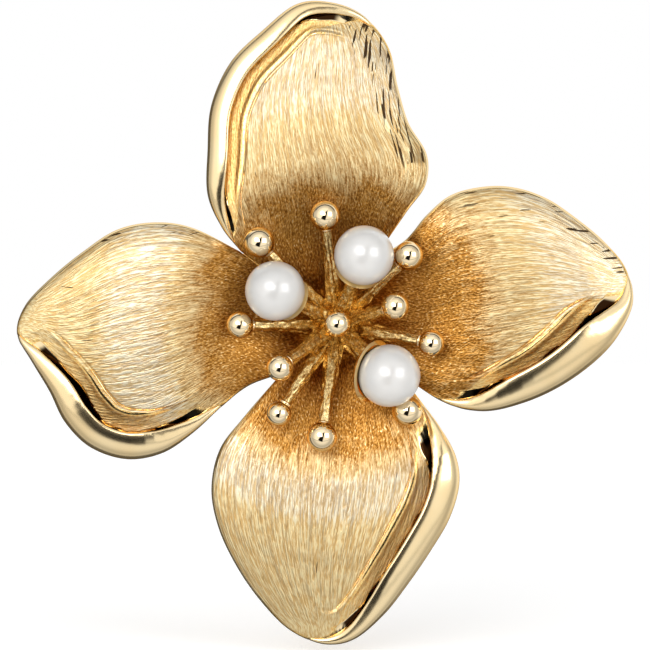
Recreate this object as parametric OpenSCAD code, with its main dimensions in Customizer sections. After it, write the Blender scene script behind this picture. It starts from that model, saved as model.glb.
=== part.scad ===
// Flower brooch: four gold petals with rolled edges, three pearls and eleven gold stamens,
// with a hinged pin stem and a turning safety catch behind.
// Upright as worn: +Z up, +X to the right seen from the front, the flower faces -Y.
// The origin is the middle of the pin stem's straight wall. Lengths in mm, angles in degrees.

/* [Petals] */
// height of the petal crest above the roots
crest_h = 4.2; // [2.5:0.1:6]
// distance of the crest from the flower's axis
crest_r = 14; // [11:0.5:17]
// how fast the petals fall back beyond the crest
fall_back = 0.0065; // [0:0.0005:0.012]
// petal sheet thickness
sheet_t = 0.9; // [0.6:0.05:1.2]
// slit between neighbouring petals
slit_w = 0.12; // [0.08:0.02:0.3]
// size of the rolled edges
roll_size = 1; // [0.6:0.05:1.1]

/* [Centre] */
// radius of the centre boss
boss_r = 2.5; // [2.3:0.1:2.7]
// radius of the domed top of the boss
dome_r = 3.2; // [3:0.1:4]
// stamen stem radius
stem_r = 0.3; // [0.2:0.02:0.34]
// pearl stem radius
peg_r = 0.36; // [0.3:0.02:0.4]
// gap between a stem and its drilled seat
seat_gap = 0.04; // [0.03:0.01:0.06]
// depth of the drilled seats in the boss
seat_depth = 0.9; // [0.6:0.05:1.1]
// diameter of the two upper pearls
pearl_d = 4.9; // [4:0.1:5.1]
// diameter of the lower right pearl
pearl_c_d = 5.1; // [4:0.1:5.3]

/* [Back] */
// how far the pin stem lies above the flower's axis
pin_up = 4.5; // [3.5:0.25:5.5]
// how far the pin stem lies behind the petal roots
pin_back = 4.6; // [4.3:0.1:6]
// hinge to the left of the flower's axis
hinge_x = 12.5; // [10:0.5:14]
// catch to the right of the flower's axis
catch_x = 11.5; // [10:0.5:14]
// pin stem radius
pin_r = 0.5; // [0.4:0.05:0.6]
// running clearance in the hinge and the catch
run_gap = 0.05; // [0.02:0.01:0.08]
// width of the slot the pin stem passes through in the catch
slot_w = 1.3; // [1.2:0.05:1.4]

/* [Hidden] */
$fn = 48;
steps_u = 32;
rows_v = 10;
wall_x0 = -hinge_x + 2;
wall_x1 = catch_x - 3;
pin_mid = (wall_x0 + wall_x1) / 2;
bar_front = -1.5;
bar_t = 0.8;
bar_w = 3;
bar_back = bar_front - bar_t;
cone_r = 5.4;
shank_r = 0.8;
gold = [0.93, 0.74, 0.38];
gold_pale = [0.98, 0.86, 0.58];
pearl_white = [0.95, 0.94, 0.92];

// petal outlines, from one notch round the tip to the next
top_pts = [[-8, 6], [-9.6, 8], [-10.8, 10.8], [-10.8, 14.4], [-10.5, 18.2], [-8.9, 21.8],
  [-6.2, 24.5], [-3.4, 26.7], [-0.6, 26.9], [2.2, 25.8], [4.3, 23.2], [5.1, 19.8],
  [6, 16.8], [7.5, 14.2], [7.4, 11.6], [5.8, 9.3], [3.2, 5.5]];
right_pts = [[3.2, 5.5], [5.7, 7], [7.5, 9.1], [9.6, 10.8], [12.4, 11.5], [15, 11.4],
  [17.6, 10.5], [20, 8.9], [22.4, 6.9], [24.2, 4.6], [24.7, 1.8], [23.4, -1],
  [21.4, -3.2], [18.6, -5.2], [15.5, -6.6], [12.2, -7.3], [9, -6.6], [5.4, -4.3]];
bottom_pts = [[5.4, -4.3], [6.9, -6.3], [8.6, -8.6], [9.9, -11], [10.2, -13.4], [9.4, -16.2],
  [7.9, -18.8], [6, -21.6], [3.9, -24.3], [1.4, -26.4], [-1.2, -26.8], [-4, -25.6],
  [-6.4, -23.2], [-8.4, -20.3], [-9.9, -17.1], [-10.5, -13.8], [-9.8, -10.5], [-7.8, -7.8],
  [-4.7, -4.2]];
left_pts = [[-4.7, -4.2], [-7.4, -5.2], [-9.6, -6.9], [-12, -9.1], [-14.6, -10.8],
  [-17.6, -11.3], [-20.6, -10.3], [-22.7, -8.2], [-24, -5.6], [-25.6, -3], [-26.8, -0.8],
  [-26.1, 1.6], [-23.8, 4], [-21.2, 6.1], [-18.4, 7.9], [-15.2, 8.5], [-12, 8], [-8, 6]];

// how far the edge rolls forward (1) or stays plain (0), by outline point
top_roll = [[0, 0], [1.8, 1], [6.5, 1], [8.6, 0.6], [10, 0]];
right_roll = [[8.6, 0], [10, 0.6], [11, 1], [14.6, 1], [16.6, 0]];
bottom_roll = [[0, 0], [1.2, 0.2], [2.8, 1], [7.6, 1], [9.6, 0.5], [11.5, 0]];
left_roll = [[1.4, 0], [3.2, 0.8], [4, 1], [8, 1], [9, 0.7], [10.5, 0]];

// width of the edge band, by outline point
top_band = [[0, 0.25], [2, 0.8], [5, 0.85], [8, 0.65], [10, 0.6], [14.5, 0.6], [16, 0.25]];
right_band = [[0, 0.25], [1.5, 0.6], [9, 0.7], [11.2, 1.3], [13, 1.15], [15, 0.9], [17, 0.25]];
bottom_band = [[0, 0.25], [2.5, 1], [5, 1.1], [8, 0.9], [10, 0.7], [16.5, 0.6], [18, 0.25]];
left_band = [[0, 0.25], [2, 0.6], [4, 1.05], [7.4, 1.1], [9.4, 0.75], [15.5, 0.6], [17, 0.25]];

// cross-section of a rolled edge and of a plain edge: distance in from the edge, rise, thickness
roll_form = [[3.9, 0, 0.9], [3.3, -0.1, 0.84], [2.6, -0.16, 0.8], [1.75, -0.12, 0.76],
  [0.95, 0.04, 0.72], [0.45, 0.4, 0.7], [0.35, 0.85, 0.66], [0.62, 1.2, 0.6],
  [1.12, 1.42, 0.52], [1.65, 1.52, 0.42], [2.05, 1.52, 0.28]];
plain_form = [[3.1, 0, 0.9], [2.6, -0.02, 0.88], [2.2, -0.05, 0.86], [1.85, -0.1, 0.84],
  [1.5, -0.16, 0.8], [1.2, -0.23, 0.78], [0.95, -0.31, 0.74], [0.72, -0.4, 0.7],
  [0.52, -0.5, 0.6], [0.38, -0.6, 0.45], [0.28, -0.7, 0.28]];
last_k = len(roll_form) - 1;

// petal index to outline, roll, band, direction of its middle, and sideways lean
petals = [[top_pts, top_roll, top_band, 98, -0.03],
  [right_pts, right_roll, right_band, 5, 0.03],
  [bottom_pts, bottom_roll, bottom_band, 269, -0.03],
  [left_pts, left_roll, left_band, 184, -0.03]];

// stamens: side and up position of the ball, its forward position, ball diameter,
// distance of the seat from the axis, and how strongly the stem bends
stamens = [[-6.4, 6.7, 6.3, 2.5, 1.75, 12], [-1, 8.9, 6.1, 2.45, 1.75, 13],
  [5.9, 5.6, 6, 2.4, 1.75, 12], [4.75, 1.4, 7.4, 2.2, 1.1, 9], [7.75, -1.6, 6, 2.15, 1.75, 13],
  [0, 0, 8, 2.15, 0, 0], [-8, -0.1, 6, 2.25, 1.75, 13], [-4.7, -3.6, 7.4, 2.2, 1.1, 10],
  [-4.8, -7.4, 6, 2.05, 1.75, 13], [-1.25, -9.3, 6.2, 2.45, 1.75, 13],
  [5.8, -7.2, 5.3, 2.5, 1.95, 1.5]];
// pearls: the same, with the pearl's diameter, the half angle of its cup, how much larger than
// the pearl the cup's inner radius is, and how far the cup is turned sideways on its stem
pearls = [[-5.1, 2.7, 7.3, pearl_d, 1.1, 4, 34, 0.02, 0],
  [2.2, 5.6, 7.3, pearl_d, 1.1, 4, 34, 0.02, 0],
  [4.25, -4.25, 7.4, pearl_c_d, 0.95, 13, 50, 0.6, 30]];
cup_t = 0.28;

// nodes: every separate piece by name
tags = ["01", "02", "03", "04", "05", "06", "07", "08", "09", "10", "11"];
letters = ["a", "b", "c"];

// ---- small functions ----
function unit(v) = v / norm(v);
function clamp01(t) = min(1, max(0, t));
function ease(t) = let (c = clamp01(t)) c * c * (3 - 2 * c);
function mix(a, b, t) = a + (b - a) * t;
function at(p, i) = p[max(0, min(len(p) - 1, i))];

// smooth curve through the outline points, s counts points
function curve(p, s) =
  let (i = min(len(p) - 2, floor(s)), t = s - i)
  let (a = i == 0 ? 2 * p[0] - p[1] : p[i - 1], b = p[i], c = p[i + 1])
  let (d = i + 2 > len(p) - 1 ? 2 * c - b : p[i + 2])
  0.5 * (2 * b + (c - a) * t + (2 * a - 5 * b + 4 * c - d) * t * t
    + (3 * b - a - 3 * c + d) * t * t * t);

// front surface of a petal above the root plane
function bowl(r) = r < crest_r
  ? crest_h * (1 - pow((r - crest_r) / 12, 2))
  : crest_h - fall_back * pow(r - crest_r, 2);
function face_h(p, dir, lean) =
  let (q = p[1] * cos(dir) - p[0] * sin(dir), k = ease((norm(p) - 6) / 6))
  bowl(norm(p)) - k * (0.006 * q * q - lean * q);

// edge cross-section between plain (0) and rolled (1), its outer side at distance 0
function edge_form(e) =
  let (f = [for (k = [0:last_k]) mix(plain_form[k], roll_form[k], e)])
  let (w0 = min([for (k = [1:last_k]) f[k][0] - f[k][2] * 0.5 * ease(e * 3)]))
  [for (k = [0:last_k]) [f[k][0] - w0, f[k][1], f[k][2]]];

// one slice of a petal: a front row and a back row of points, root to edge
function slice(pt, u, side) =
  let (p = pt[0], n = len(p) - 1, s = u * n, dir = pt[3], lean = pt[4])
  let (a0 = atan2(p[0][1], p[0][0]), a1r = atan2(p[n][1], p[n][0]))
  let (a1 = a1r > a0 ? a1r - 360 : a1r)
  let (w = slit_w / 2, ga = asin(w / boss_r))
  let (ang = mix(a0 - ga, a1 + ga, u), root = boss_r * [cos(ang), sin(ang)])
  let (c = curve(p, s), sa = s < 0.01, sb = s > n - 0.01)
  let (push = (sa ? [sin(a0), -cos(a0)] : sb ? [-sin(a1), cos(a1)] : [0, 0]) * w)
  let (o = c + push, d = curve(p, min(n, s + 0.5)) - curve(p, max(0, s - 0.5)))
  let (nrm = unit([d[1], -d[0]]), ends = ease((min(s, n - s)) / 1.6))
  let (dirn = unit(mix(unit(root - o), nrm, ends)))
  let (z = lookup(s, pt[2]) * roll_size, f = edge_form(lookup(s, pt[1])))
  let (inner = o + dirn * f[0][0] * z)
  let (face = [for (j = [0:rows_v - 1])
    let (q = mix(root, inner, j / rows_v), h = face_h(q, dir, lean))
    [q[0], q[1], h - (side > 0 ? 0 : sheet_t)]])
  let (edge = [for (k = [0:last_k])
    let (b = at(f, k - 1), g = at(f, k + 1), t2 = [b[0] - g[0], g[1] - b[1]])
    let (tt = k == 0 ? [1, 0] : unit(t2), th = f[k][2] * sheet_t / 0.9 * side / 2)
    let (q0 = o + dirn * f[k][0] * z, q = q0 + dirn * tt[1] * th)
    [q[0], q[1], face_h(q0, dir, lean) - sheet_t / 2 + f[k][1] * z + tt[0] * th]])
  concat(face, edge);

// ---- sub-parts of the flower, built with the petals' root plane at z = 0 ----
module petal(i) {
  m = rows_v + last_k + 1;
  ring = [for (j = [0:steps_u]) concat(slice(petals[i], j / steps_u, 1),
    [for (k = [m - 1:-1:0]) slice(petals[i], j / steps_u, -1)[k]])];
  pts = [for (r = ring) each r];
  g = 2 * m;
  skin = [for (j = [0:steps_u - 1], k = [0:g - 1])
    let (a = j * g + k, b = j * g + (k + 1) % g, c = a + g, d = b + g)
    each [[a, c, d], [a, d, b]]];
  last = steps_u * g;
  caps = [for (k = [0:m - 2]) each [
    [k, k + 1, g - 2 - k], [k, g - 2 - k, g - 1 - k],
    [last + k, last + g - 2 - k, last + k + 1],
    [last + k, last + g - 1 - k, last + g - 2 - k]]];
  color(gold) polyhedron(pts, concat(skin, caps), convexity = 6);
}

function dome_h(r) = sqrt(dome_r * dome_r - r * r) - 1;

// a stem's line in the plane through the flower's axis: an arc from its seat's mouth to the
// middle of its head. Distances along it are measured from the mouth.
function far(s) = norm([s[0], s[1]]);
function straight(s) = far(s) < 0.01;
function chord(s) = [far(s) - s[4], s[2] - dome_h(s[4])];
function rise(s) = atan2(chord(s)[1], chord(s)[0]);
function bend(s) = norm(chord(s)) / (2 * sin(s[5]));
function swing(s, t) = t / bend(s) * 180 / PI;
function span(s) = straight(s) ? chord(s)[1] : bend(s) * 2 * s[5] * PI / 180;

// puts children on a stem's line, t along it, their z axis along the line
module on_stem(s, t) {
  if (straight(s)) {
    translate([0, 0, dome_h(0) + t]) children();
  } else {
    r = bend(s);
    a = rise(s) + s[5];
    b = a - swing(s, t);
    rotate([0, 0, atan2(s[1], s[0])])
      translate([s[4] + r * (sin(a) - sin(b)), 0, dome_h(s[4]) + r * (cos(b) - cos(a))])
        rotate([0, 90 - b, 0])
          children();
  }
}

// a stem from its seat in the boss to a depth of peg inside its head
module stem(s, rad, peg) {
  stop = span(s) - s[3] / 2 + peg;
  if (straight(s)) {
    translate([0, 0, dome_h(0) - seat_depth * 0.75])
      cylinder(r = rad, h = stop + seat_depth * 0.75);
  } else {
    r = bend(s);
    a = rise(s) + s[5];
    rotate([0, 0, atan2(s[1], s[0])])
      translate([s[4] + r * sin(a), 0, dome_h(s[4]) - r * cos(a)])
        rotate([90, 0, 0])
          rotate([0, 0, 90 + a - swing(s, stop)])
            rotate_extrude(angle = swing(s, stop + seat_depth), $fn = 240)
              translate([r, 0])
                circle(r = rad, $fn = 28);
  }
}

// the drilled seat of a stem in the boss
module seat_bore(s, rad) {
  deep = straight(s) ? seat_depth * 0.75 : seat_depth;
  on_stem(s, -deep / 2)
    translate([0, 0, -deep / 2 - 0.03])
      cylinder(r = rad + seat_gap, h = deep + 0.53);
}

// the drilled hole of a stem in its head
module head_bore(s, rad, peg) {
  on_stem(s, span(s) - s[3] / 2 + peg / 2)
    translate([0, 0, -peg / 2 - 1])
      cylinder(r = rad + seat_gap, h = peg + 1.03);
}

module centre_boss() {
  color(gold) difference() {
    union() {
      intersection() {
        translate([0, 0, -1]) sphere(r = dome_r, $fn = 96);
        translate([0, 0, -0.6]) cylinder(r = boss_r, h = 4, $fn = 96);
      }
      translate([0, 0, bar_back - 0.8]) cylinder(r = shank_r, h = 0.8 - bar_back);
    }
    for (s = stamens) seat_bore(s, stem_r);
    for (s = pearls) seat_bore(s, peg_r);
  }
}

module bead(i) {
  s = stamens[i];
  color(gold_pale) difference() {
    translate([s[0], s[1], s[2]]) sphere(d = s[3], $fn = 64);
    head_bore(s, stem_r, 0.7);
  }
}

module stamen(i) {
  color(gold) stem(stamens[i], stem_r, 0.7);
}

module pearl(i) {
  s = pearls[i];
  color(pearl_white) difference() {
    translate([s[0], s[1], s[2]]) sphere(d = s[3], $fn = 64);
    head_bore(s, peg_r, 1);
  }
}

module pearl_cup(i) {
  s = pearls[i];
  r = s[3] / 2;
  lip = -(r + 0.02) * cos(s[6]);
  color(gold_pale) difference() {
    translate([s[0], s[1], s[2]])
      rotate([0, 0, s[8]])
        translate([-s[0], -s[1], -s[2]])
          on_stem(s, span(s)) difference() {
            translate([0, 0, s[7] - 0.02]) sphere(r = r + s[7] + cup_t, $fn = 64);
            translate([0, 0, s[7] - 0.02]) sphere(r = r + s[7], $fn = 64);
            translate([0, 0, 5 + lip]) cube([12, 12, 10], center = true);
          }
    head_bore(s, peg_r, 1);
  }
}

module pearl_stem(i) {
  color(gold) stem(pearls[i], peg_r, 1);
}

module calyx_cone() {
  rr = [for (r = [2.9:0.5:cone_r]) r];
  top = [for (r = rr) [r, bowl(r) - sheet_t - 0.09]];
  color(gold) rotate_extrude($fn = 96)
    polygon(concat([[shank_r + 0.02, bar_front + 0.001], [shank_r + 0.02, -0.602],
      [2.54, -0.602]], top, [[cone_r + 0.1, bowl(cone_r) - sheet_t - 0.4],
      [3.4, bar_front + 0.001]]));
}

module back_plate() {
  color(gold) difference() {
    union() {
      translate([0, 0, bar_back]) cylinder(r = 4.6, h = bar_t, $fn = 96);
      translate([-hinge_x, pin_up - bar_w / 2, bar_back])
        cube([hinge_x + catch_x, bar_w, bar_t]);
      translate([-hinge_x, pin_up, bar_back]) cylinder(r = bar_w / 2, h = bar_t);
      translate([catch_x, pin_up, bar_back]) cylinder(r = bar_w / 2, h = bar_t);
    }
    translate([0, 0, bar_back - 1]) cylinder(r = shank_r + 0.02, h = 3);
  }
}

module shank_collar() {
  color(gold) translate([0, 0, bar_back - 0.7]) difference() {
    union() {
      cylinder(r = 1.7, h = 0.4);
      translate([0, 0, 0.4]) cylinder(r = 1.9, h = 0.3);
    }
    translate([0, 0, -1]) cylinder(r = shank_r + 0.02, h = 3);
  }
}

module strut(x) {
  rr = norm([x, pin_up]);
  color(gold) translate([x, pin_up, 0]) {
    translate([0, 0, bar_front]) cylinder(r = 0.7, h = bowl(rr) - sheet_t - 0.3 - bar_front);
    translate([0, 0, bar_front]) cylinder(r = 1.1, h = 0.5);
  }
}

// ---- the pin and its parts, built round the pin's line: x along it, z = 0 on it ----
module hinge_base() {
  foot = pin_back + bar_back;
  color(gold) difference() {
    union() {
      for (y = [0.75, -1.35])
        translate([-hinge_x, y, 0]) {
          rotate([-90, 0, 0]) cylinder(r = 1.5, h = 0.6);
          translate([-1.5, 0, 0]) cube([3, 0.6, foot]);
        }
      translate([-hinge_x - 1.5, -1.35, foot - 0.5]) cube([3, 2.7, 0.5]);
    }
    translate([-hinge_x, -3, 0]) rotate([-90, 0, 0]) cylinder(r = 0.42, h = 6);
  }
}

module hinge_rivet() {
  color(gold_pale) translate([-hinge_x, 0, 0]) rotate([-90, 0, 0]) {
    translate([0, 0, -1.75]) cylinder(r = 0.41, h = 3.5);
    translate([0, 0, 1.36]) cylinder(r1 = 0.8, r2 = 0.55, h = 0.4);
    translate([0, 0, -1.76]) cylinder(r1 = 0.55, r2 = 0.8, h = 0.4);
  }
}

module pin_stem() {
  color(gold_pale) difference() {
    union() {
      translate([-hinge_x, -0.7, 0]) rotate([-90, 0, 0]) cylinder(r = 1.3, h = 1.4);
      translate([-hinge_x + 0.8, 0, 0]) rotate([0, 90, 0])
        cylinder(r1 = 0.7, r2 = pin_r, h = wall_x0 + hinge_x - 0.8);
      translate([wall_x0, 0, 0]) rotate([0, 90, 0]) cylinder(r = pin_r, h = wall_x1 - wall_x0);
      translate([wall_x1, 0, 0]) rotate([0, 90, 0]) cylinder(r1 = pin_r, r2 = 0.07, h = 5.6);
    }
    translate([-hinge_x, -2, 0]) rotate([-90, 0, 0]) cylinder(r = 0.41 + run_gap, h = 4);
  }
}

module catch_housing() {
  foot = pin_back + bar_back;
  color(gold) difference() {
    union() {
      for (x = [-1.5, 0.8])
        translate([catch_x + x, 0, 0]) {
          rotate([0, 90, 0]) cylinder(r = 1.9, h = 0.7);
          translate([0, -1.3, 0]) cube([0.7, 2.6, foot]);
        }
      translate([catch_x - 1.5, -1.3, foot - 0.35]) cube([3, 2.6, 0.35]);
    }
    translate([catch_x - 3, 0, 0]) rotate([0, 90, 0]) cylinder(r = 1.1, h = 6);
    translate([catch_x - 3, -slot_w / 2, -3]) cube([6, slot_w, 3]);
  }
}

module catch_rotor() {
  color(gold_pale) translate([catch_x, 0, 0]) difference() {
    union() {
      translate([-1.5, 0, 0]) rotate([0, 90, 0]) cylinder(r = 1.1 - run_gap, h = 3);
      translate([-0.74, 0, 0]) rotate([0, 90, 0]) cylinder(r = 1.75, h = 1.48);
      translate([-0.6, 1, -0.35]) cube([1.2, 1.9, 0.7]);
      translate([-0.6, 2.9, 0]) rotate([0, 90, 0]) cylinder(r = 0.45, h = 1.2);
    }
    translate([-3, 0, 0]) rotate([0, 90, 0]) cylinder(r = slot_w / 2, h = 6);
    translate([-3, -slot_w / 2, -3]) cube([6, slot_w, 3]);
  }
}

// ---- placing ----
module in_flower() {
  translate([-pin_mid, -pin_back, -pin_up]) rotate([90, 0, 0]) children();
}
module on_pin() {
  translate([-pin_mid, 0, 0]) rotate([90, 0, 0]) children();
}

in_flower() petal(0);  // petal_top
in_flower() petal(1);  // petal_right
in_flower() petal(2);  // petal_bottom
in_flower() petal(3);  // petal_left
in_flower() centre_boss();
for (i = [0:10]) {
  in_flower() bead(i);
  in_flower() stamen(i);
}
for (i = [0:2]) {
  in_flower() pearl(i);
  in_flower() pearl_cup(i);
  in_flower() pearl_stem(i);
}
in_flower() calyx_cone();
in_flower() back_plate();
in_flower() shank_collar();
in_flower() strut(-9.5);  // strut_left
in_flower() strut(8.5);  // strut_right
on_pin() hinge_base();
on_pin() hinge_rivet();
on_pin() pin_stem();
on_pin() catch_housing();
on_pin() catch_rotor();
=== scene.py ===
import math

import bpy
import numpy as np
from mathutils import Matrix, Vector


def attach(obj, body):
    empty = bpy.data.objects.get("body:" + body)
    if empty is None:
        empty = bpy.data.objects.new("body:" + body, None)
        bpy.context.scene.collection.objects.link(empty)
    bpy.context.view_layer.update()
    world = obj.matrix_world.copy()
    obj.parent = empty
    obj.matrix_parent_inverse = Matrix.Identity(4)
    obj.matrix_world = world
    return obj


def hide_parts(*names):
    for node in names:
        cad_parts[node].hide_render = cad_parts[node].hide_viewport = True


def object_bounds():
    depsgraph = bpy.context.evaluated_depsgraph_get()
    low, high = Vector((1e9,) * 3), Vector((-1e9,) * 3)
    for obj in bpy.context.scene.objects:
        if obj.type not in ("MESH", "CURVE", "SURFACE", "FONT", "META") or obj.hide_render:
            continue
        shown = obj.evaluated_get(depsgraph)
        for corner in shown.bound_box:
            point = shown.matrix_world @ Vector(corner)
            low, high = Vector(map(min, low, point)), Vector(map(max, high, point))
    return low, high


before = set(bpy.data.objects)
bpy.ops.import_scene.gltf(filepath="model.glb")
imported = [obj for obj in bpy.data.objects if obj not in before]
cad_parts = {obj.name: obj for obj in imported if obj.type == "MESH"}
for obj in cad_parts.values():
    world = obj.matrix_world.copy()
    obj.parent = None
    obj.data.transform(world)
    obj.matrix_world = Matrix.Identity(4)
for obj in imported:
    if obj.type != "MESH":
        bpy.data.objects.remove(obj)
cad_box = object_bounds()

MM = 0.001
# the flower's axis in the row frame, in mm: side, back, up
AX, AY, AZ = 1.0, -4.6, -4.5

# ---------------------------------------------------------------- petal shape, as in the CAD
# the crest of the petals' common bowl: its height and radius, and how fast it falls beyond
CREST_H, CREST_R, FALL = 4.2, 14.0, 0.0065
# the sheet's thickness, the slit between two petals, the centre's radius and its dome's
SHEET, SLIT = 0.9, 0.12
BOSS_R, DOME_R = 2.5, 3.2

TOP = [(-8, 6), (-9.6, 8), (-10.8, 10.8), (-10.8, 14.4), (-10.5, 18.2), (-8.9, 21.8),
       (-6.2, 24.5), (-3.4, 26.7), (-0.6, 26.9), (2.2, 25.8), (4.3, 23.2), (5.1, 19.8),
       (6, 16.8), (7.5, 14.2), (7.4, 11.6), (5.8, 9.3), (3.2, 5.5)]
RIGHT = [(3.2, 5.5), (5.7, 7), (7.5, 9.1), (9.6, 10.8), (12.4, 11.5), (15, 11.4),
         (17.6, 10.5), (20, 8.9), (22.4, 6.9), (24.2, 4.6), (24.7, 1.8), (23.4, -1),
         (21.4, -3.2), (18.6, -5.2), (15.5, -6.6), (12.2, -7.3), (9, -6.6), (5.4, -4.3)]
BOTTOM = [(5.4, -4.3), (6.9, -6.3), (8.6, -8.6), (9.9, -11), (10.2, -13.4), (9.4, -16.2),
          (7.9, -18.8), (6, -21.6), (3.9, -24.3), (1.4, -26.4), (-1.2, -26.8), (-4, -25.6),
          (-6.4, -23.2), (-8.4, -20.3), (-9.9, -17.1), (-10.5, -13.8), (-9.8, -10.5),
          (-7.8, -7.8), (-4.7, -4.2)]
LEFT = [(-4.7, -4.2), (-7.4, -5.2), (-9.6, -6.9), (-12, -9.1), (-14.6, -10.8),
        (-17.6, -11.3), (-20.6, -10.3), (-22.7, -8.2), (-24, -5.6), (-25.6, -3), (-26.8, -0.8),
        (-26.1, 1.6), (-23.8, 4), (-21.2, 6.1), (-18.4, 7.9), (-15.2, 8.5), (-12, 8), (-8, 6)]

# how far the edge rolls forward, 0 to 1, and the scale of its cross-section, by outline point
ROLL = {"top": [(0, 0), (1.8, 1), (6.5, 1), (8.6, 0.6), (10, 0)],
        "right": [(8.6, 0), (10, 0.6), (11, 1), (14.6, 1), (16.6, 0)],
        "bottom": [(0, 0), (1.2, 0.2), (2.8, 1), (7.6, 1), (9.6, 0.5), (11.5, 0)],
        "left": [(1.4, 0), (3.2, 0.8), (4, 1), (8, 1), (9, 0.7), (10.5, 0)]}
BAND = {"top": [(0, 0.25), (2, 0.8), (5, 0.85), (8, 0.65), (10, 0.6), (14.5, 0.6), (16, 0.25)],
        "right": [(0, 0.25), (1.5, 0.6), (9, 0.7), (11.2, 1.3), (13, 1.15), (15, 0.9), (17, 0.25)],
        "bottom": [(0, 0.25), (2.5, 1), (5, 1.1), (8, 0.9), (10, 0.7), (16.5, 0.6), (18, 0.25)],
        "left": [(0, 0.25), (2, 0.6), (4, 1.05), (7.4, 1.1), (9.4, 0.75), (15.5, 0.6), (17, 0.25)]}
# outline: points from one notch round the tip to the next
# direction: where the petal's middle points, in degrees
# lean: the face's sideways slope
# reach: how far in the rolled lip ends, in the units of the cross-sections below
# slit_at and slit_more: the outline point where the slit under the lip, painted dark as shade, is
# widest, and by how much
# gloss: of the trough inside the roll, 0 to 1
# inner: how much further out than usual the inner part of the face ends, in mm; that part is
# stippled and painted darker as shade
# highlight_at and highlight_half: radius and half width of the painted highlight band, the brightest
# band
# painted_shade: how much the face is darkened by painted shade, 0 to 1
# marks: how strongly streaks, cut in and painted dark as shade, run in from the plain edge that
# faces up
PETALS = {"top": dict(outline=TOP, direction=98, lean=-0.03, reach=2.05, slit_at=8.0,
                      slit_more=0.45, gloss=0.3, inner=0.3, highlight_at=21, highlight_half=3.6,
                      painted_shade=0.22, marks=2.0),
          "right": dict(outline=RIGHT, direction=5, lean=0.03, reach=2.45, slit_at=9.9,
                        slit_more=0.3, gloss=0.3, inner=1.0, highlight_at=22, highlight_half=5.0,
                        painted_shade=0.04, marks=0.6),
          "bottom": dict(outline=BOTTOM, direction=269, lean=-0.03, reach=2.3, slit_at=2.4,
                         slit_more=0.4, gloss=0.15, inner=-0.3, highlight_at=14.6, highlight_half=2.2,
                         painted_shade=0.0, marks=0.0),
          "left": dict(outline=LEFT, direction=184, lean=-0.03, reach=2.15, slit_at=7.4,
                       slit_more=0.45, gloss=0.15, inner=0.2, highlight_at=17, highlight_half=3.0,
                       painted_shade=0.12, marks=0.6)}

# cross-sections of the edge, in mm at a scale of 1: distance in from the edge, rise, thickness.
# The lip at the end of the rolled one reaches further in on some petals.
ROLL_FORM = np.array([(3.9, 0, 0.9), (3.3, -0.1, 0.84), (2.6, -0.16, 0.8), (1.75, -0.12, 0.76),
                      (0.95, 0.04, 0.72), (0.45, 0.4, 0.7), (0.35, 0.85, 0.66), (0.62, 1.2, 0.6),
                      (1.12, 1.42, 0.52), (1.65, 1.52, 0.42), (2.05, 1.52, 0.28)])
PLAIN_FORM = np.array([(3.1, 0, 0.9), (2.6, -0.02, 0.88), (2.2, -0.05, 0.86), (1.85, -0.1, 0.84),
                       (1.5, -0.16, 0.8), (1.2, -0.23, 0.78), (0.95, -0.31, 0.74),
                       (0.72, -0.4, 0.7), (0.52, -0.5, 0.6), (0.38, -0.6, 0.45),
                       (0.28, -0.7, 0.28)])
LIP_SHIFT = np.array([0, 0, 0, 0, 0, 0, 0, 0, 0.3, 0.7, 1.0])
LAST_K = len(ROLL_FORM) - 1
# a plain edge that faces this way, a little right of up, bends back
UPWARD = np.array([0.35, 0.94])


def ease(t):
    """Smooth step from 0 to 1."""
    t = np.clip(t, 0, 1)
    return t * t * (3 - 2 * t)


def spline(p, s):
    """Smooth curve through the points p at s, counted in points."""
    p = np.asarray(p, float)
    q = np.vstack([2 * p[0] - p[1], p, 2 * p[-1] - p[-2]])
    i = np.clip(np.floor(s).astype(int), 0, len(p) - 2)
    t = (s - i)[:, None]
    a, b, c, d = q[i], q[i + 1], q[i + 2], q[i + 3]
    return 0.5 * (2 * b + (c - a) * t + (2 * a - 5 * b + 4 * c - d) * t * t
                  + (3 * b - a - 3 * c + d) * t ** 3)


def table(s, rows, blur=1.4):
    """Piecewise values by outline point, softened over blur points either side."""
    x, y = [r[0] for r in rows], [r[1] for r in rows]
    offsets = np.linspace(-1, 1, 9)
    return sum((1 - abs(d)) * np.interp(s + d * blur, x, y) for d in offsets) / 4


def bowl(r):
    """Height of the petals' common bowl at a distance from the axis."""
    return np.where(r < CREST_R, CREST_H * (1 - ((r - CREST_R) / 12) ** 2),
                    CREST_H - FALL * (r - CREST_R) ** 2)


def grain(u, v, seed):
    """Smooth random values between 0 and 1 over the plane (u, v), one step per unit."""
    field = np.random.default_rng(seed).random((256, 256))
    i, j = np.floor(u).astype(int), np.floor(v).astype(int)
    a, b = ease(u - i), ease(v - j)
    p, q = field[i % 256, j % 256], field[(i + 1) % 256, j % 256]
    r, s = field[i % 256, (j + 1) % 256], field[(i + 1) % 256, (j + 1) % 256]
    return (p * (1 - a) + q * a) * (1 - b) + (r * (1 - a) + s * a) * b


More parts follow.
